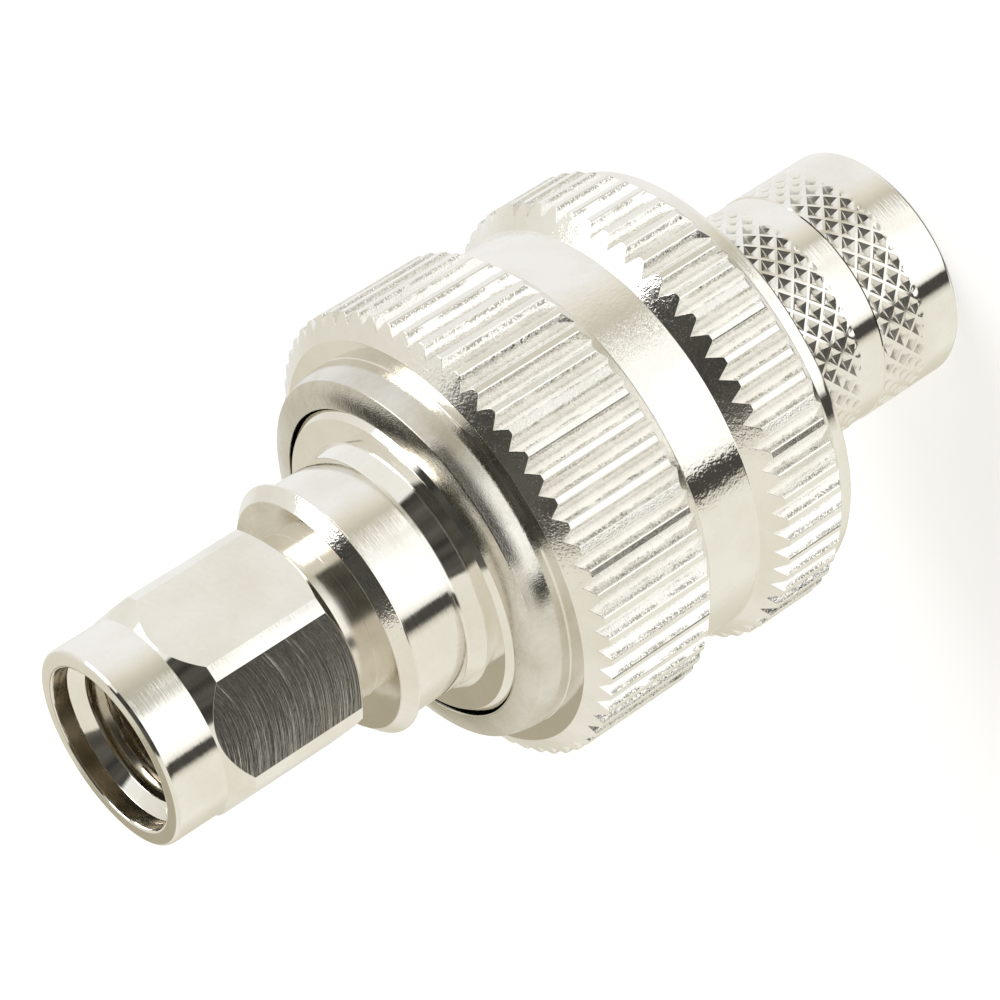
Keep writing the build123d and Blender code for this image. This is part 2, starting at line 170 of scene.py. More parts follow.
# Plug's pin, insulator and seal
PIN_TAIL_R = 0.40
PIN_TAIL = 23.17
PIN_R = 0.635
PIN_START = 24.32
TIP_R = 0.457
TIP_TAPER = 34.14
TIP_TOP = 34.49
INSULATOR_R = 2.03
INSULATOR_BORE_R = 0.655
INSULATOR_START = 24.52
SEAL_TOP = 32.29

# Both threads: above 1 the flanks are steeper and leave a flat at crest and root
FLANK_STEEPNESS = 1.25


# Meshes
def place(radius, degrees, height):
    """The point at a radius, an angle and a height in millimetres, in metres."""
    angle = math.radians(degrees)
    return (radius * math.cos(angle) * MM, radius * math.sin(angle) * MM, height * MM)


def mesh_object(name, verts, faces):
    """A linked object with one plain mesh."""
    data = bpy.data.meshes.new(name)
    data.from_pydata(verts, [], faces)
    data.validate()
    made = bpy.data.objects.new(name, data)
    bpy.context.scene.collection.objects.link(made)
    return made


def volume(verts, faces):
    """Six times the volume inside the faces, negative where they are inside out."""
    total = 0.0
    for face in faces:
        first = Vector(verts[face[0]])
        for k in range(1, len(face) - 1):
            total += first.dot(Vector(verts[face[k]]).cross(Vector(verts[face[k + 1]])))
    return total


def smooth_object(name, verts, faces, sharp=21.0):
    """A closed shell, outside out, smooth except where its faces meet at a real edge."""
    if volume(verts, faces) < 0:
        faces = [face[::-1] for face in faces]
    made = mesh_object(name, verts, faces)
    made.data.shade_smooth()
    made.data.set_sharp_from_angle(angle=math.radians(sharp))
    return made


def eased(loop, steps=4, support=0.025):
    """A closed outline of (radius, height, rounding) with its rounded corners drawn out."""
    least_reach = 0.002
    curve_share = 0.40  # of a side that a corner's curve may take
    support_share = 0.47  # of a side that the curve and the support point after it may take
    points = []
    for k, (r, z, rounding) in enumerate(loop):
        if not rounding:
            points.append((r, z))
            continue
        here = Vector((r, z))
        back = Vector(loop[k - 1][:2]) - here
        ahead = Vector(loop[(k + 1) % len(loop)][:2]) - here
        turn = math.pi - back.angle(ahead, 0.0)
        reach = max(rounding * math.tan(turn / 2), least_reach)
        near = min(reach, curve_share * back.length)
        far = min(reach, curve_share * ahead.length)
        back_way, ahead_way = back.normalized(), ahead.normalized()
        points.append(here + back_way * min(near + support, support_share * back.length))
        start, end = here + back_way * near, here + ahead_way * far
        for step in range(steps + 1):
            t = step / steps
            points.append(start * (1 - t) ** 2 + here * 2 * t * (1 - t) + end * t ** 2)
        points.append(here + ahead_way * min(far + support, support_share * ahead.length))
    return [(p[0], p[1]) for p in points]


def turned(name, outline, angles):
    """A ring about the axis: outline(angle) gives the same number of points at every angle."""
    verts, faces = [], []
    for angle in angles:
        loop = eased(outline(angle))
        verts += [place(r, angle, z) for r, z in loop]
    count = len(verts) // len(angles)
    for i in range(len(angles)):
        here, there = i * count, (i + 1) % len(angles) * count
        for j in range(count):
            k = (j + 1) % count
            faces.append((here + j, here + k, there + k, there + j))
    return smooth_object(name, verts, faces)


def even_angles(count):
    """Angles in degrees, evenly round the axis."""
    return [360.0 * k / count for k in range(count)]


def thread_share(height, angle, pitch):
    """How far a right-hand thread's ridge has risen here, 0 at its root and 1 at its crest."""
    phase = (height / pitch - angle / 360.0) % 1.0
    return min(1.0, max(0.0, 0.5 + FLANK_STEEPNESS * (abs(2 * phase - 1) - 0.5)))


def choose(piece, materials, pick):
    """Gives each face the material that pick(radius, height, face) names.

    The small margins in the pick functions are millimetres. They settle which finish the
    rounded edge between two surfaces takes.
    """
    for made in materials:
        piece.data.materials.append(made)
    for face in piece.data.polygons:
        x, y, z = (v / MM for v in face.center)
        face.material_index = materials.index(pick(math.hypot(x, y), z, face))


# Shader trees
class Tree:
    """A short hand for adding and joining nodes."""

    def __init__(self, tree):
        self.tree = tree

    def add(self, kind, **values):
        node = self.tree.nodes.new(kind)
        for key, value in values.items():
            setattr(node, key, value)
        return node

    def feed(self, socket, value):
        if isinstance(value, bpy.types.NodeSocket):
            self.tree.links.new(value, socket)
        elif isinstance(value, tuple) and len(value) == 3 and len(socket.default_value) == 4:
            socket.default_value = (*value, 1.0)
        else:
            socket.default_value = value

    def math(self, operation, *values, clamp=False):
        node = self.add("ShaderNodeMath", operation=operation, use_clamp=clamp)
        for socket, value in zip(node.inputs, values):
            self.feed(socket, value)
        return node.outputs[0]

    def times(self, a, b):
        return self.math("MULTIPLY", a, b)

    def plus(self, a, b):
        return self.math("ADD", a, b)

    def minus(self, a, b):
        return self.math("SUBTRACT", a, b)

    def share(self, value, whole):
        """How much of the whole the value is, held between 0 and 1."""
        return self.math("DIVIDE", value, whole, clamp=True)

    def rest(self, value, whole):
        """1 at nothing, 0 at the whole, and held between."""
        return self.math("SUBTRACT", 1.0, self.math("DIVIDE", value, whole), clamp=True)

    def reach(self, x, y):
        """Distance from the axis."""
        return self.math("SQRT", self.plus(self.times(x, x), self.times(y, y)))

    def fade(self, value, low, high):
        """0 below low, 1 above high, and even between."""
        node = self.add("ShaderNodeMapRange", clamp=True)
        for socket, entry in zip(node.inputs, (value, low, high, 0.0, 1.0)):
            self.feed(socket, entry)
        return node.outputs[0]

    def noise(self, vector, scale, detail=2.0, rough=0.5):
        node = self.add("ShaderNodeTexNoise")
        self.feed(node.inputs["Vector"], vector)
        self.feed(node.inputs["Scale"], scale)
        node.inputs["Detail"].default_value = detail
        node.inputs["Roughness"].default_value = rough
        return node.outputs["Fac"]

    def combine(self, x, y, z):
        node = self.add("ShaderNodeCombineXYZ")
        for socket, value in zip(node.inputs, (x, y, z)):
            self.feed(socket, value)
        return node.outputs[0]

    def ramp(self, value, stops):
        node = self.add("ShaderNodeValToRGB")
        self.feed(node.inputs["Fac"], value)
        while len(node.color_ramp.elements) < len(stops):
            node.color_ramp.elements.new(1.0)
        for element, (spot, colour) in zip(node.color_ramp.elements, stops):
            element.position = spot
            element.color = (*colour, 1.0)
        return node.outputs["Color"]

    def mix(self, fac, a, b):
        node = self.add("ShaderNodeMix", data_type="RGBA")
        self.feed(node.inputs["Factor"], fac)
        self.feed(node.inputs[6], a)
        self.feed(node.inputs[7], b)
        return node.outputs[2]

    def split(self, vector):
        node = self.add("ShaderNodeSeparateXYZ")
        self.feed(node.inputs[0], vector)
        return node.outputs

    def point(self, space="Object"):
        return self.add("ShaderNodeTexCoord").outputs[space]

    def group(self, made, **values):
        node = self.add("ShaderNodeGroup", node_tree=made)
        for key, value in values.items():
            self.feed(node.inputs[key.replace("_", " ")], value)
        return node.outputs


def new_group(name, inputs, outputs):
    """A shader node group with named sockets; gives its tree, its inputs and its output node."""
    made = bpy.data.node_groups.new(name, "ShaderNodeTree")
    for label, start in inputs:
        kind = "NodeSocketColor" if isinstance(start, tuple) else "NodeSocketFloat"
        socket = made.interface.new_socket(name=label, in_out="INPUT", socket_type=kind)
        socket.default_value = (*start, 1.0) if isinstance(start, tuple) else start
    for label, kind in outputs:
        made.interface.new_socket(name=label, in_out="OUTPUT", socket_type=kind)
    t = Tree(made)
    entry = t.add("NodeGroupInput").outputs
    return made, t, entry, t.add("NodeGroupOutput")


NICKEL = (0.88, 0.86, 0.81)
NICKEL_HAZED = (0.82, 0.79, 0.72)
# Colour of the painted shade in knurl valleys and diamond pits
VALLEY_SHADE_TONE = (0.16, 0.145, 0.115)
TORN_METAL = (0.30, 0.28, 0.22)


def turned_lines():
    """Fine lathe lines: rings round the walls and circles on the faces."""
    made, t, entry, leave = new_group(
        "turned_lines",
        [("Lines per mm", 12.0), ("Broken", 0.4)],
        [("Height", "NodeSocketFloat"), ("Mask", "NodeSocketFloat")],
    )
    face_share = 0.7  # how densely the lines run over a face, beside a wall
    fine_drift, coarse_drift, coarse_share = 260.0, 120.0, 0.22
    coord = t.point()
    x, y, z = t.split(coord)
    along = t.times(t.plus(z, t.times(t.reach(x, y), face_share)), MM_PER_METRE)
    scaled = t.times(along, entry["Lines per mm"])
    drift = t.combine(t.times(x, fine_drift), t.times(y, fine_drift), scaled)
    fine = t.noise(drift, 1.0, detail=3.0, rough=0.6)
    slow = t.combine(t.times(x, coarse_drift), t.times(y, coarse_drift), t.times(scaled, coarse_share))
    coarse = t.noise(slow, 1.0)
    patch = t.fade(t.noise(coord, 900.0), 0.35, 0.70)
    kept = t.minus(1.0, t.times(patch, entry["Broken"]))
    height = t.times(t.plus(t.times(fine, 0.7), t.times(coarse, 0.3)), kept)
    t.feed(leave.inputs["Height"], height)
    t.feed(leave.inputs["Mask"], t.times(t.fade(fine, 0.42, 0.62), kept))
    return made


def blasted_grain():
    """The fine peening that makes satin nickel sparkle."""
    made, t, entry, leave = new_group(
        "blasted_grain",
        [("Grains per mm", 9.0), ("Sparse", 0.5)],
        [("Height", "NodeSocketFloat"), ("Mask", "NodeSocketFloat")],
    )
    patch_share, soft, least = 0.22, 0.20, 0.35
    coord = t.point()
    scale = t.times(entry["Grains per mm"], MM_PER_METRE)
    cells = t.noise(coord, scale, detail=1.5, rough=0.6)
    patch = t.noise(coord, t.times(scale, patch_share))
    kept = t.fade(patch, t.minus(entry["Sparse"], soft), t.plus(entry["Sparse"], soft))
    t.feed(leave.inputs["Height"], t.times(cells, t.plus(least, t.times(kept, 1 - least))))
    t.feed(leave.inputs["Mask"], t.times(t.fade(cells, 0.56, 0.66), kept))
    return made


def handled_haze():
    """Faint uneven haze from handling: a warmer tone and a softer shine in patches."""
    made, t, entry, leave = new_group(
        "handled_haze",
        [("Clean tone", NICKEL), ("Hazed tone", NICKEL_HAZED), ("Shine", 0.08), ("Haze", 0.06)],
        [("Color", "NodeSocketColor"), ("Roughness", "NodeSocketFloat")],
    )
    coord = t.point()
    broad = t.noise(coord, 380.0, detail=3.0, rough=0.55)
    specks = t.noise(coord, 5200.0, rough=0.6)
    mask = t.fade(t.plus(t.times(broad, 0.8), t.times(specks, 0.2)), 0.42, 0.66)
    t.feed(leave.inputs["Color"], t.mix(mask, entry["Clean tone"], entry["Hazed tone"]))
    t.feed(leave.inputs["Roughness"], t.plus(entry["Shine"], t.times(mask, entry["Haze"])))
    return made


def painted_valley_shade():
    """Painted shade: a darker colour below a given radius, in knurl valleys and pits, broken up by
    specks.
    """
    made, t, entry, leave = new_group(
        "painted_valley_shade",
        [("Color", NICKEL), ("Clean radius mm", 9.1), ("Depth mm", 0.3), ("Strength", 0.6)],
        [("Color", "NodeSocketColor"), ("Depth", "NodeSocketFloat")],
    )
    least = 0.35
    coord = t.point()
    x, y, _ = t.split(coord)
    radius = t.times(t.reach(x, y), MM_PER_METRE)
    depth = t.share(t.minus(entry["Clean radius mm"], radius), entry["Depth mm"])
    # The painted shade grows with depth below the radius, and specks break it up.
    broken = t.fade(t.noise(coord, 7000.0, detail=3.0, rough=0.65), 0.36, 0.62)
    mask = t.times(t.times(depth, t.plus(least, t.times(broken, 1 - least))), entry["Strength"])
    t.feed(leave.inputs["Color"], t.mix(mask, entry["Color"], VALLEY_SHADE_TONE))
    t.feed(leave.inputs["Depth"], depth)
    return made


def torn_edge():
    """The rough, dotted edge that a knurling wheel leaves along each crest."""
    made, t, entry, leave = new_group(
        "torn_edge",
        [("Edge radius mm", 9.12), ("Width mm", 0.09)],
        [("Torn", "NodeSocketFloat")],
    )
    coord = t.point()
    x, y, z = t.split(coord)
    radius = t.times(t.reach(x, y), MM_PER_METRE)
    away = t.math("ABSOLUTE", t.minus(radius, entry["Edge radius mm"]))
    chips = t.noise(t.combine(x, y, t.times(z, 1.3)), 8500.0, rough=0.6)
    runs = t.fade(t.noise(coord, 1100.0), 0.34, 0.56)
    torn = t.times(t.times(t.fade(chips, 0.44, 0.58), t.rest(away, entry["Width mm"])), runs)
    t.feed(leave.inputs["Torn"], torn)
    return made


LATHE = turned_lines()
GRAIN = blasted_grain()
HAZE = handled_haze()
VALLEY_SHADE = painted_valley_shade()
TORN = torn_edge()


# Materials
def new_material(name, metallic=1.0):
    """An empty material with its shader and output; gives it, its tree and its shader."""
    made = bpy.data.materials.new(name)
    made.use_nodes = True
    made.node_tree.nodes.clear()
    t = Tree(made.node_tree)
    shader = t.add("ShaderNodeBsdfPrincipled")
    shader.inputs["Metallic"].default_value = metallic
    out = t.add("ShaderNodeOutputMaterial")
    t.feed(out.inputs["Surface"], shader.outputs[0])
    return made, t, shader


def bumped(t, shader, layers):
    """Joins (height, depth in mm) layers into one bump."""
    total = None
    for height, depth in layers:
        part = t.times(height, depth)
        total = part if total is None else t.plus(total, part)
    bump = t.add("ShaderNodeBump")
    bump.inputs["Distance"].default_value = MM
    t.feed(bump.inputs["Height"], total)
    t.feed(shader.inputs["Normal"], bump.outputs[0])


def plated(
    name, shine, haze, lines=0.0, lines_per_mm=12.0, grain=0.0, grains_per_mm=9.0, sparse=0.5,
    speckle=0.0, torn=0.0, valley_shading=None, tone=NICKEL, hazed=NICKEL_HAZED,
):
    """Plated metal: haze over all, lathe lines and peening by depth in mm, painted shade below a
    radius.
    """
    line_haze, torn_stain = 0.05, 0.50
    made, t, shader = new_material(name)
    veil = t.group(HAZE, Clean_tone=tone, Hazed_tone=hazed, Shine=shine, Haze=haze)
    colour, rough = veil["Color"], veil["Roughness"]
    layers = []
    if lines:
        lathe = t.group(LATHE, Lines_per_mm=lines_per_mm)
        layers.append((lathe["Height"], lines))
        rough = t.plus(rough, t.times(lathe["Mask"], line_haze))
    if grain:
        peened = t.group(GRAIN, Grains_per_mm=grains_per_mm, Sparse=sparse)
        layers.append((peened["Height"], grain))
        if speckle:
            rough = t.plus(rough, t.times(peened["Mask"], speckle))
    # Painted shade: a darker colour and more roughness below a radius, standing in for the shade in
    # valleys and pits.
    if valley_shading:
        shaded_colour = t.group(
            VALLEY_SHADE, Color=colour, Clean_radius_mm=valley_shading["unshaded_radius"],
            Depth_mm=valley_shading["depth"], Strength=valley_shading["strength"],
        )
        colour = shaded_colour["Color"]
        rough = t.plus(rough, t.times(shaded_colour["Depth"], valley_shading["haze"]))
    if torn:
        edge = t.group(TORN)["Torn"]
        layers.append((edge, torn))
        colour = t.mix(t.times(edge, torn_stain), colour, TORN_METAL)
    t.feed(shader.inputs["Base Color"], colour)
    t.feed(shader.inputs["Roughness"], rough)
    bumped(t, shader, layers)
    return made


def milled_flats():
    """Hexagon flats: the curved passes of a face mill across each flat."""
    sixth = math.pi / 3
    cutter_across = 8.5  # mm, which sets how far the passes bend
    passes_per_mm, broad_per_mm = 9.0, 2.2
    passes_run, broad_run = 0.28, 0.15
    passes_apart, broad_apart = 31.0, 17.0  # so that no two flats have the same marks
    made, t, shader = new_material("milled_flats")
    x, y, z = t.split(t.point())
    angle = t.minus(t.math("ARCTAN2", y, x), math.radians(HEX_FLAT_AT))
    turn = t.times(t.math("ROUND", t.math("DIVIDE", angle, sixth)), sixth)
    across = t.times(t.times(t.reach(x, y), t.math("SINE", t.minus(angle, turn))), MM_PER_METRE)
    bend = t.math("DIVIDE", t.times(across, across), cutter_across)
    sweep = t.minus(t.times(z, MM_PER_METRE), bend)
    # The flat at 180 degrees has both ends of the turn's range, so they are made one value.
    flat = t.math("WRAP", turn, math.radians(190.0), math.radians(-170.0))
    fine = t.combine(
        t.times(sweep, passes_per_mm), t.times(across, passes_run), t.times(flat, passes_apart),
    )
    passes = t.noise(fine, 1.0, detail=4.0, rough=0.65)
    wide = t.combine(
        t.times(sweep, broad_per_mm), t.times(across, broad_run), t.times(flat, broad_apart),
    )
    broad = t.noise(wide, 1.0)
    scratch = t.fade(passes, 0.58, 0.72)
    veil = t.group(HAZE, Clean_tone=NICKEL, Hazed_tone=NICKEL_HAZED, Shine=0.05, Haze=0.03)
    t.feed(shader.inputs["Base Color"], veil["Color"])
    t.feed(shader.inputs["Roughness"], t.plus(veil["Roughness"], t.times(scratch, 0.24)))
    bumped(t, shader, [(passes, 0.0058), (broad, 0.0045)])
    return made


def plain_surface(name, tone, hazed, shine, metallic, depth):
    """Insulators, seals and inner metal: a soft mottle and a fine grain of a depth in mm."""
    made, t, shader = new_material(name, metallic)
    veil = t.group(HAZE, Clean_tone=tone, Hazed_tone=hazed, Shine=shine, Haze=0.08)
    lathe = t.group(LATHE, Lines_per_mm=9.0)
    peened = t.group(GRAIN, Grains_per_mm=12.0, Sparse=0.4)
    t.feed(shader.inputs["Base Color"], veil["Color"])
    t.feed(shader.inputs["Roughness"], veil["Roughness"])
    bumped(t, shader, [(lathe["Height"], depth), (peened["Height"], depth)])
    return made


BRIGHT = plated(
    "bright_nickel", shine=0.035, haze=0.035, lines=0.0017, grain=0.0009, grains_per_mm=8.0,
)
CHAMFERED = plated(
    "chamfered_nickel", shine=0.05, haze=0.05, lines=0.0016, lines_per_mm=8.0,
    grain=0.0100, grains_per_mm=13.0, sparse=0.42,
)
COLLARED = plated(
    "collar_nickel", shine=0.08, haze=0.06, lines=0.0008,
    grain=0.0042, grains_per_mm=19.0, sparse=0.35, speckle=0.15,
    tone=(0.74, 0.72, 0.66), hazed=(0.62, 0.59, 0.52),
)
COLLET = plated(
    "collet_nickel", shine=0.12, haze=0.08, lines=0.0014,
    tone=(0.80, 0.765, 0.69), hazed=(0.72, 0.68, 0.60),
)
GROOVED = plated("groove_nickel", shine=0.04, haze=0.05, grain=0.0085, grains_per_mm=6.5, sparse=0.38)
CONED = plated(
    "coned_nickel", shine=0.11, haze=0.06, grain=0.0110, grains_per_mm=11.0, sparse=0.45, speckle=0.14,
)
SATIN = plated(
    "satin_nickel", shine=0.07, haze=0.06, lines=0.0008, grain=0.0032, grains_per_mm=13.0, sparse=0.45,
)
CRESTED = plated(
    "crest_nickel", shine=0.15, haze=0.07, lines=0.0006, grain=0.0075, grains_per_mm=15.0, sparse=0.45,
    tone=(0.88, 0.865, 0.815), hazed=(0.84, 0.82, 0.76),
)
# Knurl flanks, with painted shade in the V-groove valleys.
FLANKED = plated(
    "flank_nickel", shine=0.11, haze=0.07, grain=0.0095, grains_per_mm=12.0, sparse=0.42, torn=0.022,
    valley_shading={"unshaded_radius": 8.93, "depth": 0.16, "strength": 0.14, "haze": 0.04},
    tone=(0.90, 0.885, 0.845), hazed=(0.85, 0.83, 0.78),
)
# Diamond knurl, with strong painted shade inside its pits.
DIAMOND = plated(
    "diamond_nickel", shine=0.11, haze=0.06, grain=0.0016, grains_per_mm=10.0,
    valley_shading={"unshaded_radius": 4.775, "depth": 0.09, "strength": 0.75, "haze": 0.12},
)
# Inside the mouth: the darker tones of the wall and the thread are painted shade, standing in for the
# shade deep in the hole.
MOUTH_WALL_SHADED = plated(
    "mouth_wall_painted_shade", shine=0.14, haze=0.10, lines=0.0020,
    tone=(0.56, 0.51, 0.42), hazed=(0.42, 0.38, 0.30),
)
MOUTH_THREAD_SHADED = plated(
    "mouth_thread_painted_shade", shine=0.16, haze=0.10, lines=0.0012, grain=0.0010,
    tone=(0.54, 0.49, 0.40), hazed=(0.40, 0.36, 0.28),
)
MILLED = milled_flats()
GOLD = plain_surface(
    "gold_plate", tone=(0.95, 0.74, 0.36), hazed=(0.86, 0.63, 0.28),
    shine=0.14, metallic=1.0, depth=0.0012,
)
BRONZE = plain_surface(
    "plain_bronze", tone=(0.76, 0.60, 0.38), hazed=(0.62, 0.46, 0.27),
    shine=0.24, metallic=1.0, depth=0.0014,
)
WHITE = plain_surface(
    "white_insulator", tone=(0.86, 0.86, 0.83), hazed=(0.78, 0.78, 0.74),
    shine=0.38, metallic=0.0, depth=0.0015,
)
SEAL = plain_surface(
    "silicone_seal", tone=(0.62, 0.20, 0.08), hazed=(0.50, 0.15, 0.06),
    shine=0.45, metallic=0.0, depth=0.0015,
)
FINISH = {
    "nickel": BRIGHT,
    "satin_nickel": SATIN,
    "gold": GOLD,
    "bronze": BRONZE,
    "insulator": WHITE,
    "silicone": SEAL,
}


# Pieces
def hexagon_nut():
    """Nose, hexagon with its corners turned down and both ends coned, and the mouth's thread."""
    rows = 84
    runout = 1 / 6  # of the thread's length, at each end
    sixth = 60.0
    thread_depth = SMA_THREAD_ROOT - SMA_THREAD_CREST
    back_slope = (LAND_START - NUT_BACK) / (CORNER_R - NUT_BACK_R)
    front_slope = (NOSE_START - LAND_END) / (CORNER_R - NOSE_R)

    def outline(angle):
        off = (angle - HEX_FLAT_AT + sixth / 2) % sixth - sixth / 2
        reach = min(HEX_HALF / math.cos(math.radians(off)), CORNER_R)
        loop = [
            (NUT_BORE_R, NUT_BACK, 0),
            (NUT_BACK_R, NUT_BACK, 0.03),
            (reach, NUT_BACK + (reach - NUT_BACK_R) * back_slope, 0.03),
            (reach, LAND_END + (CORNER_R - reach) * front_slope, 0.03),
            (NOSE_R, NOSE_START, 0.05),
            (NOSE_R, MOUTH_TOP, 0.22),
            (MOUTH_R, MOUTH_TOP, 0.08),
            (MOUTH_R, STEP_FLOOR, 0.03),
            (SMA_THREAD_CREST, SMA_THREAD_TOP, 0.03),
        ]
        for row in range(1, rows):
            z = SMA_THREAD_TOP - (SMA_THREAD_TOP - SMA_THREAD_END) * row / rows
            ease = min(1.0, row / rows / runout, (rows - row) / rows / runout)
            cut = thread_depth * thread_share(z, angle, SMA_PITCH) * ease
            loop.append((SMA_THREAD_CREST + cut, z, 0))
        loop += [
            (SMA_THREAD_CREST, SMA_THREAD_END, 0),
            (RING_ROOM_R, SMA_THREAD_END, 0),
            (RING_ROOM_R, RING_ROOM_START, 0),
            (NUT_BORE_R, RING_ROOM_START, 0),
        ]
        return loop

    edge = math.degrees(math.acos(HEX_HALF / CORNER_R))
    flat_steps, corner_steps = 13, 4
    angles = []
    for flat in range(6):
        middle = HEX_FLAT_AT + sixth * flat
        angles += [middle + edge * k / flat_steps for k in range(-flat_steps, flat_steps + 1)]
        corner = sixth - 2 * edge
        angles += [middle + edge + corner * k / corner_steps for k in range(1, corner_steps)]
    piece = turned("hexagon_nut", outline, angles)

    def pick(radius, height, face):
        # The mouth's thread and inner wall take the materials with painted shade.
        if radius < SMA_THREAD_ROOT and height < SMA_THREAD_TOP - 0.05:
            return MOUTH_THREAD_SHADED
        if radius < MOUTH_R + 0.004 and STEP_FLOOR + 0.03 < height < MOUTH_TOP - 0.10:
            return MOUTH_WALL_SHADED
        upright = abs(face.normal.z) < 0.02
        on_flat = NOSE_R < radius < CORNER_R - 0.004
        if upright and on_flat and LAND_START - 0.3 < height < NOSE_START:
            return MILLED
        return BRIGHT

    choose(piece, [BRIGHT, MILLED, MOUTH_THREAD_SHADED, MOUTH_WALL_SHADED], pick)
    return piece


def plug_turning():
    """Flange, disc, shoulder, neck, rim and shank of the front half, in one turning."""
    loop = [
        (SPRING_ROOM_R, FLANGE_START, 0),
        (FLANGE_R, FLANGE_START, 0),
        (FLANGE_R, FLANGE_TOP, 0),
        (DISC_R, FLANGE_TOP, 0),
        (DISC_R, DISC_TOP - DISC_BEVEL, 0.03),
        (DISC_R - DISC_BEVEL, DISC_TOP, 0.03),
        (SHOULDER_R, DISC_TOP, 0.03),
        (SHOULDER_R, SHOULDER_TOP, 0.03),
        (NECK_R, NECK_START, 0.35),
        (NECK_R, RIM_START, 0.02),
        (RIM_R, RIM_START, 0.04),
        (RIM_R, RIM_LAND_END, 0.04),
        (RIM_FACE_R, RIM_FACE, 0.03),
        (COLLET_R, RIM_FACE, 0.02),
        (COLLET_R, COLLET_TOP, 0.05),
        (SHANK_R, COLLET_TOP, 0),
        (SHANK_R, SPLIT_RING_START, 0),
        (SPLIT_RING_R, SPLIT_RING_START, 0),
        (SPLIT_RING_R, SPLIT_RING_TOP, 0),
        (SHANK_R, SPLIT_RING_TOP, 0),
        (SHANK_R, SHANK_TOP, 0.04),
        (CONTACT_R, SHANK_TOP, 0.02),
        (CONTACT_R, CONTACT_TOP, 0.12),
        (CONTACT_BORE_R, CONTACT_TOP, 0.03),
        (CONTACT_BORE_R, INSULATOR_START, 0),
        (LINE_BORE_R, INSULATOR_START, 0),
        (LINE_BORE_R, SPRING_ROOM_TOP, 0),
        (SPRING_ROOM_R, SPRING_ROOM_TOP, 0),
    ]
    piece = turned("plug_turning", lambda angle: loop, even_angles(240))

    def pick(radius, height, face):
        if RIM_FACE - 0.06 < height < COLLET_TOP + 0.11 and radius < RIM_FACE_R + 0.06:
            return COLLET
        on_cone = RIM_START - 0.06 < height < RIM_FACE - 0.04 and radius > RIM_FACE_R - 0.04
        return CHAMFERED if on_cone and face.normal.z > 0.2 else BRIGHT

    choose(piece, [BRIGHT, CHAMFERED, COLLET], pick)
    return piece


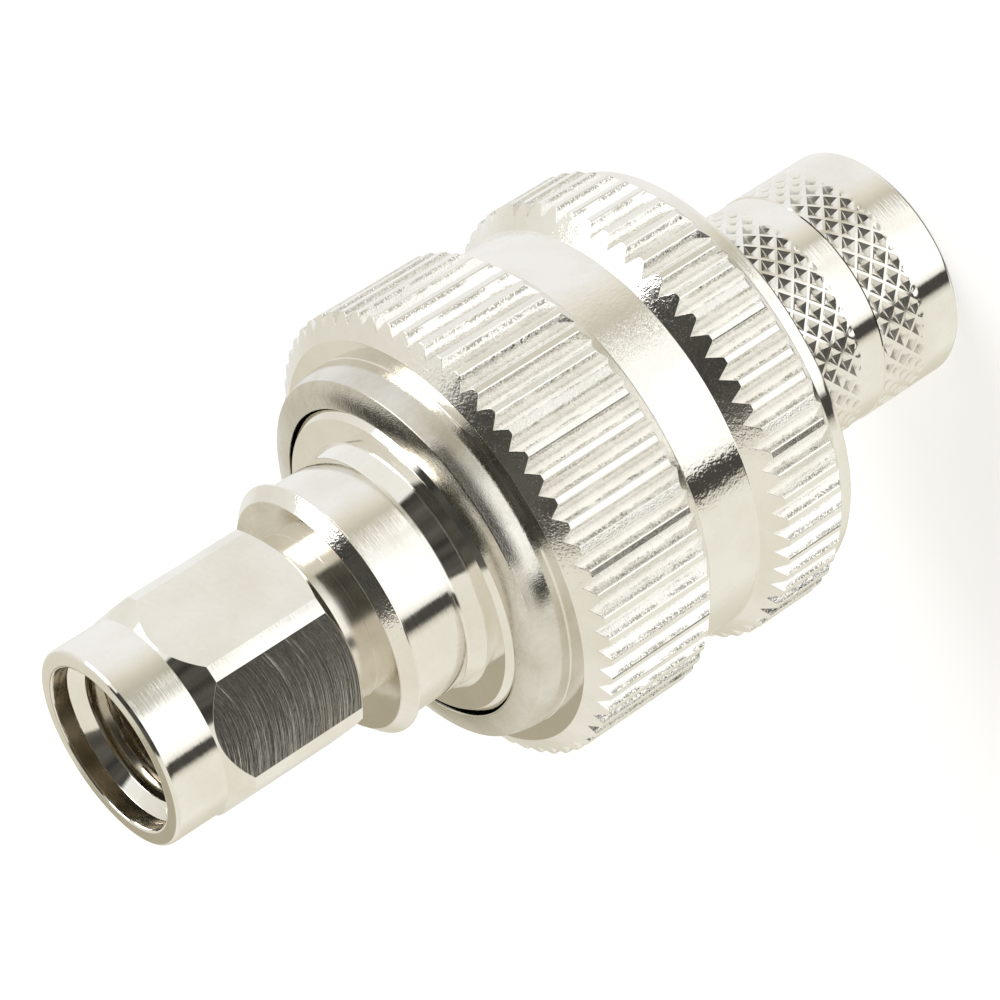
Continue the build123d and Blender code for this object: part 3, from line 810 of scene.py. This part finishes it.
def knurled_ring_nut():
    """The large nut: crowned collar, two bands of V grooves with coned ends, smooth groove."""
    half_step = TOOTH_STEP / 2
    half_groove = math.pi * CREST_R / TEETH - CREST_FLAT / 2
    tooth_depth = CREST_R - VALLEY_R
    groove_slope = (GROOVE_START - REAR_BAND_END) / (CREST_R - GROOVE_R)
    ledge_slope = (LEDGE - FRONT_BAND_END) / (CREST_R - LEDGE_R)

    def tooth(angle):
        off = math.radians(abs((angle - VALLEY_AT + half_step) % TOOTH_STEP - half_step))
        lean = math.tan(off)
        share = VALLEY_R * lean / (half_groove - tooth_depth * lean)
        return min((VALLEY_R + tooth_depth * share) / math.cos(off), CREST_R)

    wall = []
    r, rows = COLLAR_R, 10
    rise = (COLLAR_TOP - LEDGE) / rows
    first_lean, last_lean = COLLAR_LEANS
    for row in range(1, rows):
        lean = first_lean + (last_lean - first_lean) * (row - 0.5) / rows
        r -= math.tan(math.radians(lean)) * rise
        wall.append((r, LEDGE + rise * row, 0))

    crown = [(CROWN_R, COLLAR_TOP, 0.04)]
    for share in (0.25, 0.5, 0.75):
        bulge = CROWN_BULGE * 4 * share * (1 - share)
        height = COLLAR_TOP + (CROWN_TOP - COLLAR_TOP) * share + bulge
        crown.append((CROWN_R + (COLLAR_BORE_R - CROWN_R) * share, height, 0))
    crown.append((COLLAR_BORE_R, CROWN_TOP, 0.05))

    def outline(angle):
        r = tooth(angle)
        drop = CREST_R - r
        return [
            (RING_MOUTH_R, RING_BACK, 0.03),
            (RING_BACK_R, RING_BACK, RING_BACK_EASE),
            (RING_BACK_R, RING_LIP_TOP, 0.02),
            (r, REAR_BAND_START - drop, 0.03),
            (r, REAR_BAND_END + drop * groove_slope, 0.03),
            (GROOVE_R, GROOVE_START, 0.06),
            (GROOVE_R, GROOVE_END, 0.06),
            (r, FRONT_BAND_START - drop * groove_slope, 0.03),
            (r, FRONT_BAND_END + drop * ledge_slope, 0.03),
            (LEDGE_R, LEDGE, 0.04),
            (COLLAR_R, LEDGE, 0.04),
        ] + wall + crown + [
            (COLLAR_BORE_R, FLANGE_ROOM_TOP, 0),
            (RING_THREAD_R, FLANGE_ROOM_TOP, 0),
            (RING_THREAD_R, RING_THREAD_START, 0),
            (RING_MOUTH_R, RING_THREAD_START, 0),
        ]

    # Columns a little before and after each crest's edge keep it crisp.
    edge = half_step - math.degrees(CREST_FLAT / 2 / CREST_R)
    before, after, flank = edge - 0.16, edge + 0.14, 1.1
    steps = (-half_step, -after, -before, -flank, 0.0, flank, before, after)
    angles = [VALLEY_AT + TOOTH_STEP * k + step for k in range(TEETH) for step in steps]
    piece = turned("knurled_ring_nut", outline, angles)

    def pick(radius, height, face):
        if radius < RING_MOUTH_R + 0.05 and height < LEDGE + 0.06:
            return BRIGHT
        if height > LEDGE - 0.02:
            on_collar = radius < COLLAR_R + 0.12 and height > LEDGE + 0.02
            return COLLARED if on_collar else SATIN
        on_rear_cone = REAR_BAND_END < height < GROOVE_START - 0.01
        on_front_cone = GROOVE_END + 0.01 < height < FRONT_BAND_START
        if height > FRONT_BAND_END - 0.05 or on_rear_cone or on_front_cone:
            return CONED
        if height < RING_LIP_TOP + 0.02:
            return BRIGHT
        if GROOVE_START - 0.05 < height < GROOVE_END + 0.05 and radius < GROOVE_R + 0.05:
            return GROOVED
        return CRESTED if radius > CREST_R - 0.02 else FLANKED

    choose(piece, [BRIGHT, SATIN, CRESTED, GROOVED, CONED, COLLARED, FLANKED], pick)
    return piece


def pit_share(column, row):
    """How deep the nearest diamond pit is at one point of the fine grid, 0 to 1."""
    left = column // PIT_STEPS
    below = row // PIT_STEPS
    away = min(
        abs(column - i * PIT_STEPS) + abs(row - j * PIT_STEPS)
        for i in (left, left + 1) for j in (below, below + 1) if (i + j) % 2 == 0
    )
    return max(0.0, (PIT_STEPS - 1 - away) / (PIT_STEPS - 1))


def grip_profile():
    """The sleeve's outline as (radius, height, row of the pit grid or None)."""
    step = PIT_ROW / PIT_STEPS
    edge = 0.03
    support = 0.12
    # The last point only steers the first corner's rounding.
    foot = eased([
        (SLEEVE_LIP_R, 0.0, 0.10),
        (SLEEVE_R, 0.0, 0.15),
        (SLEEVE_R, PLAIN_END - support, 0),
        (SLEEVE_LIP_R, 1.0, 0),
    ])[:-1]
    profile = [(r, z, None) for r, z in foot]
    profile.append((SLEEVE_R, PLAIN_END - edge, None))
    for base, top in GRIP_BANDS:
        first = math.ceil((base - PIT_HEIGHT) / step)
        last = math.floor((top - PIT_HEIGHT) / step)
        profile += [(SLEEVE_R, PIT_HEIGHT + row * step, row) for row in range(first, last + 1)]
        if top == WAIST_START:
            profile += [
                (SLEEVE_R, WAIST_START + edge, None),
                (SLEEVE_R - WAIST_DEPTH, WAIST_START + 2 * edge, None),
                (SLEEVE_R - WAIST_DEPTH, WAIST_END - 2 * edge, None),
                (SLEEVE_R, WAIST_END - edge, None),
            ]
    profile += [
        (SLEEVE_R - (SLEEVE_TOP - GRIP_TOP), SLEEVE_TOP, None),
        (STEM_BORE_R, SLEEVE_TOP, None),
        (STEM_BORE_R, STEM_START, None),
        (SLEEVE_LIP_R, STEM_START, None),
    ]
    return profile


def grip_sleeve():
    """The slim rear sleeve: smooth end, two bands of diamond knurl and the waist between."""
    columns = PITS * 2 * PIT_STEPS
    band_fade = 0.14
    profile = grip_profile()
    count = len(profile)
    verts, faces = [], []
    for column in range(columns):
        angle = PIT_AT + 360.0 * column / columns
        for r, z, row in profile:
            depth = 0.0
            if row is not None:
                inside = min(min(z - base, top - z) for base, top in GRIP_BANDS if base <= z <= top)
                depth = PIT_DEPTH * pit_share(column, row) * min(1.0, inside / band_fade)
            verts.append(place(r - depth, angle, z))
    for column in range(columns):
        here, there = column * count, (column + 1) % columns * count
        for k in range(count):
            n = (k + 1) % count
            a, b, c, d = here + k, here + n, there + n, there + k
            row = profile[k][2]
            if row is None or profile[n][2] is None:
                faces.append((a, b, c, d))
            elif (column // PIT_STEPS + row // PIT_STEPS) % 2 == 0:
                faces += [(a, b, d), (b, c, d)]
            else:
                faces += [(a, b, c), (a, c, d)]
    piece = smooth_object("grip_sleeve", verts, faces, sharp=24.0)

    def pick(radius, height, face):
        knurled = any(base - 0.02 < height < top + 0.02 for base, top in GRIP_BANDS)
        return DIAMOND if knurled and radius > SLEEVE_R - 1.5 * PIT_DEPTH else BRIGHT

    choose(piece, [BRIGHT, DIAMOND], pick)
    return piece


def threaded_stem():
    """Stem inside the sleeve and the barrel whose thread the large nut runs on."""
    rows = 72
    inset = 0.04
    runout_r = BARREL_CREST - BARREL_RUNOUT
    length = BARREL_TOP - BARREL_START - 2 * inset

    def outline(angle):
        loop = [
            (LINE_BORE_R, STEM_START, 0),
            (STEM_R, STEM_START, 0),
            (STEM_R, SLEEVE_TOP, 0),
            (RELIEF_R, SLEEVE_TOP, 0.10),
            (RELIEF_R, BARREL_START, 0),
            (runout_r, BARREL_START, 0),
        ]
        for row in range(rows + 1):
            z = BARREL_START + inset + length * row / rows
            end = min(z - BARREL_START, BARREL_TOP - z)
            crest = BARREL_CREST - max(0.0, BARREL_RUNOUT - end)
            ridge = BARREL_ROOT + (crest - BARREL_ROOT) * thread_share(z, angle, BARREL_PITCH)
            loop.append((max(min(crest, BARREL_ROOT), ridge), z, 0))
        loop += [
            (runout_r, BARREL_TOP, 0),
            (BARREL_LIP_R, BARREL_TOP, 0.02),
            (BARREL_LIP_R, RECESS_FLOOR, 0),
            (RECESS_R, RECESS_FLOOR, 0),
            (RECESS_R, BARREL_TOP, 0.02),
            (SPRING_BORE_R, BARREL_TOP, 0.02),
            (SPRING_BORE_R, SPRING_FLOOR, 0),
            (LINE_BORE_R, SPRING_FLOOR, 0),
        ]
        return loop

    piece = turned("threaded_stem", outline, even_angles(180))
    piece.data.materials.append(BRIGHT)
    return piece


def plug_pin():
    """Centre pin with its tapered tip."""
    points = eased([
        (0.0, PIN_TAIL, 0),
        (PIN_TAIL_R, PIN_TAIL, 0),
        (PIN_TAIL_R, PIN_START, 0),
        (PIN_R, PIN_START, 0),
        (PIN_R, CONTACT_TOP, 0.03),
        (TIP_R, CONTACT_TOP, 0.02),
        (TIP_R, TIP_TAPER, 0.06),
        (TIP_R / 2, TIP_TOP, 0.08),
        (0.0, TIP_TOP, 0),
    ])
    tail, ring, tip = points[0], points[1:-1], points[-1]
    count = len(ring)
    angles = even_angles(48)
    verts = [place(0, 0, tail[1]), place(0, 0, tip[1])]
    faces = []
    for angle in angles:
        verts += [place(r, angle, z) for r, z in ring]
    for i in range(len(angles)):
        here, there = 2 + i * count, 2 + (i + 1) % len(angles) * count
        faces.append((0, here, there))
        faces += [(here + j, here + j + 1, there + j + 1, there + j) for j in range(count - 1)]
        faces.append((here + count - 1, 1, there + count - 1))
    piece = smooth_object("plug_pin", verts, faces)
    piece.data.materials.append(GOLD)
    return piece


def plug_insulator():
    """The white tube that holds the pin in the plug contact."""
    loop = [
        (INSULATOR_BORE_R, INSULATOR_START, 0),
        (INSULATOR_R, INSULATOR_START, 0),
        (INSULATOR_R, CONTACT_TOP, 0.05),
        (INSULATOR_BORE_R, CONTACT_TOP, 0.03),
    ]
    piece = turned("plug_insulator", lambda angle: loop, even_angles(96))
    piece.data.materials.append(WHITE)
    return piece


def plug_seal():
    """The seal round the contact's foot, at the bottom of the nut's thread."""
    loop = [
        (SPLIT_RING_R, SHANK_TOP, 0.05),
        (SHANK_R, SHANK_TOP, 0.05),
        (SHANK_R, SEAL_TOP, 0.16),
        (SPLIT_RING_R, SEAL_TOP, 0.16),
    ]
    piece = turned("plug_seal", lambda angle: loop, even_angles(96))
    piece.data.materials.append(SEAL)
    return piece


for build, node, body, slot in (
    (hexagon_nut, "sma_nut", "hex_nut", "nickel"),
    (plug_turning, "front_body", "front_half", "nickel"),
    (knurled_ring_nut, "coupling_nut", "knurled_nut", "satin_nickel"),
    (grip_sleeve, "rear_sleeve", "rear_half", "nickel"),
    (threaded_stem, "rear_body", "rear_half", "nickel"),
    (plug_pin, "sma_pin", "front_half", "gold"),
    (plug_insulator, "sma_insulator", "front_half", "insulator"),
    (plug_seal, "sma_gasket", "front_half", "silicone"),
):
    piece = build()
    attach(piece, body)
    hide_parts(node)

for row in frame["record"]["subparts"]:
    node = nodes[row["node"]]
    node.data.materials.clear()
    node.data.materials.append(FINISH[row["material_slot"]])


# Studio: the colours of its walls, lamp, dark line and ceiling strip
PAPER = (1.0, 1.0, 1.0)
LAMP = (1.30, 1.30, 1.29)
COOL = (0.98, 0.98, 0.99)
PEARL = (0.97, 0.965, 0.94)
WARM = (0.93, 0.915, 0.84)
SAND = (0.80, 0.765, 0.67)
OLIVE = (0.70, 0.66, 0.55)
REAR = (0.80, 0.78, 0.72)
GREY = (0.50, 0.48, 0.42)
SEAM = (0.42, 0.41, 0.38)
DARK = (0.07, 0.065, 0.06)
UNDERSIDE = (0.12, 0.11, 0.09)
STRIP_DEEP = (0.022, 0.021, 0.02)
STRIP_PALE = (0.125, 0.119, 0.105)


def wall_ramp(t, spot, stops):
    """Wall colours by degrees round the room, 0 at the -Y side and growing towards -X."""
    return t.ramp(spot, [((degrees + 180.0) / 360.0, colour) for degrees, colour in stops])


def low_walls(t, turn, spot, z):
    """Below eye level: a lamp wall ahead, dimmer walls beside it and one thin dark line."""
    beside = wall_ramp(t, spot, [
        (-180, REAR), (-150, COOL), (-76, COOL), (-64, (0.90, 0.88, 0.82)),
        (-56, (0.80, 0.77, 0.68)), (-48, (0.68, 0.65, 0.56)), (-38, (0.56, 0.54, 0.46)),
        (30, GREY), (64, WARM), (120, WARM), (136, SAND), (160, OLIVE), (180, REAR),
    ])
    # Seen in walls nearer the mouth, the dark line and the lamp's edge stand further round.
    near_from, near_to = -0.42, -0.34
    line_shift, edge_shift = 3.0, 13.0
    near = t.fade(z, near_from, near_to)
    shifted = t.minus(spot, t.times(near, line_shift / 360.0))
    ahead = wall_ramp(t, shifted, [
        (-180, REAR), (-150, COOL), (-120, COOL), (-100, LAMP), (34, LAMP),
        (41, (0.97, 0.96, 0.92)), (43.5, DARK), (54, DARK), (58, (0.72, 0.70, 0.62)),
        (63, WARM), (120, WARM), (136, SAND), (160, OLIVE), (180, REAR),
    ])
    # Waves up the lamp's edge, which show as streaks across the turned walls
    waves, wave_reach = 115.0, 11.0
    wave = t.times(t.math("SINE", t.times(z, waves)), wave_reach)
    degrees = t.times(turn, 180.0 / math.pi)
    seam_at, seam_half = -16.0, 6.0
    off_seam = t.math("ABSOLUTE", t.plus(t.plus(degrees, -seam_at), t.times(wave, 0.5)))
    seam = t.rest(off_seam, seam_half)
    seam_far, seam_near = 0.35, 0.45
    ahead = t.mix(t.times(seam, t.plus(seam_far, t.times(near, seam_near))), ahead, SEAM)
    edge_at, edge_soft = -33.0, 2.5
    edge = t.plus(t.plus(degrees, -edge_at), t.minus(wave, t.times(near, edge_shift)))
    low = t.mix(t.fade(edge, -edge_soft, edge_soft), beside, ahead)
    under_from, under_to = -0.84, -0.95
    return t.mix(t.fade(z, under_from, under_to), low, UNDERSIDE)


def high_walls(t, spot, x, y, z):
    """Above eye level: pale walls and the dark strip overhead, which widens to the front."""
    side = wall_ramp(t, spot, [
        (-180, (0.76, 0.73, 0.63)), (-150, (0.80, 0.78, 0.70)), (-90, PEARL), (-60, PEARL),
        (60, (0.90, 0.87, 0.79)), (120, (0.86, 0.83, 0.74)), (150, (0.92, 0.90, 0.84)),
        (165, (0.78, 0.75, 0.65)), (172, (0.48, 0.44, 0.34)), (180, (0.46, 0.42, 0.32)),
    ])
    strip_soft = 0.05
    strip_back = 0.84
    strip_left, left_spread = 0.32, 0.42
    strip_right, right_spread = -0.14, 0.45
    spread_from, spread_rate = 0.5, 0.714
    spread = t.math("MULTIPLY", t.minus(spread_from, y), spread_rate, clamp=True)
    left = t.plus(strip_left, t.times(spread, left_spread))
    right = t.minus(strip_right, t.times(spread, right_spread))
    inside = t.times(
        t.share(t.minus(left, x), strip_soft),
        t.share(t.minus(x, right), strip_soft),
    )
    inside = t.times(inside, t.share(t.minus(strip_back, y), strip_soft))
    fold_across, fold_along, fold_scale = 2.2, 0.9, 1.6
    cloth = t.combine(t.times(x, fold_across), t.times(y, fold_along), t.times(z, fold_across))
    folds = t.noise(cloth, fold_scale)
    strip = t.mix(t.fade(folds, 0.35, 0.68), STRIP_DEEP, STRIP_PALE)
    return t.mix(inside, side, strip)


def studio_world():
    """A plain pale studio round the adapter, white where the camera sees it."""
    world = bpy.data.worlds.new("studio")
    bpy.context.scene.world = world
    world.use_nodes = True
    world.node_tree.nodes.clear()
    t = Tree(world.node_tree)
    x, y, z = t.split(t.point("Generated"))
    turn = t.math("ARCTAN2", t.times(x, -1.0), t.times(y, -1.0))
    spot = t.plus(t.math("DIVIDE", turn, 2 * math.pi), 0.5)
    blend_from, blend_height = -0.10, 0.30
    rise = t.share(t.plus(z, -blend_from), blend_height)
    around = t.mix(rise, low_walls(t, turn, spot, z), high_walls(t, spot, x, y, z))
    path = t.add("ShaderNodeLightPath")
    back = t.add("ShaderNodeBackground")
    t.feed(back.inputs["Color"], t.mix(path.outputs["Is Camera Ray"], around, PAPER))
    out = t.add("ShaderNodeOutputWorld")
    t.feed(out.inputs["Surface"], back.outputs[0])


def floor_sheet():
    """The plain pale floor that the adapter stands on, whiter to the camera further off."""
    half = 2.5
    near_glow, far_glow = 0.50, 0.40
    glow_from, glow_to = 0.06, 0.45
    corners = [(-half, -half, 0), (half, -half, 0), (half, half, 0), (-half, half, 0)]
    floor = mesh_object("floor", corners, [(0, 1, 2, 3)])
    made = bpy.data.materials.new("floor_paper")
    made.use_nodes = True
    made.node_tree.nodes.clear()
    t = Tree(made.node_tree)
    path = t.add("ShaderNodeLightPath")
    x, y, _ = t.split(t.point())
    far = t.fade(t.reach(x, y), glow_from, glow_to)
    strength = t.plus(near_glow, t.times(far, far_glow))
    paper = t.add("ShaderNodeBsdfDiffuse")
    paper.inputs["Color"].default_value = (0.80, 0.80, 0.80, 1)
    glow = t.add("ShaderNodeEmission")
    t.feed(glow.inputs["Strength"], t.times(path.outputs["Is Camera Ray"], strength))
    both = t.add("ShaderNodeAddShader")
    t.feed(both.inputs[0], paper.outputs[0])
    t.feed(both.inputs[1], glow.outputs[0])
    out = t.add("ShaderNodeOutputMaterial")
    t.feed(out.inputs["Surface"], both.outputs[0])
    floor.data.materials.append(made)
    floor.visible_glossy = False
    floor.visible_shadow = False


def side_lamp():
    """One soft lamp from the right, aimed at the adapter's middle."""
    spot, aim = Vector((0.35, -0.05, 0.30)), Vector((0.0, 0.0, 0.018))
    data = bpy.data.lights.new("side_lamp", "AREA")
    data.shape = "SQUARE"
    data.size = 0.25
    data.energy = 0.8
    lamp = bpy.data.objects.new("side_lamp", data)
    bpy.context.scene.collection.objects.link(lamp)
    lamp.location = spot
    lamp.rotation_mode = "QUATERNION"
    lamp.rotation_quaternion = (aim - spot).to_track_quat("-Z", "Y")
    lamp.visible_camera = False


def camera():
    """The photograph's view: a long lens, 26 degrees above the adapter, rolled."""
    data = bpy.data.cameras.new("camera")
    data.sensor_width = 36.0
    data.lens = 144.0
    data.clip_start = 0.005
    data.clip_end = 10.0
    made = bpy.data.objects.new("camera", data)
    bpy.context.scene.collection.objects.link(made)
    # Place and directions of the pinhole camera that was fitted to the photograph's edges
    spot = (0.0, -0.131499, 0.083434)
    right = Vector((-0.53846, -0.37131, -0.75643)).normalized()
    back = -Vector((-0.0001, 0.89771, -0.44059)).normalized()
    up = back.cross(right).normalized()
    turn = Matrix((right, up, back)).transposed()
    made.matrix_world = Matrix.Translation(spot) @ turn.to_4x4()
    bpy.context.scene.camera = made


studio_world()
floor_sheet()
side_lamp()
camera()
bpy.context.scene.view_settings.view_transform = "Standard"
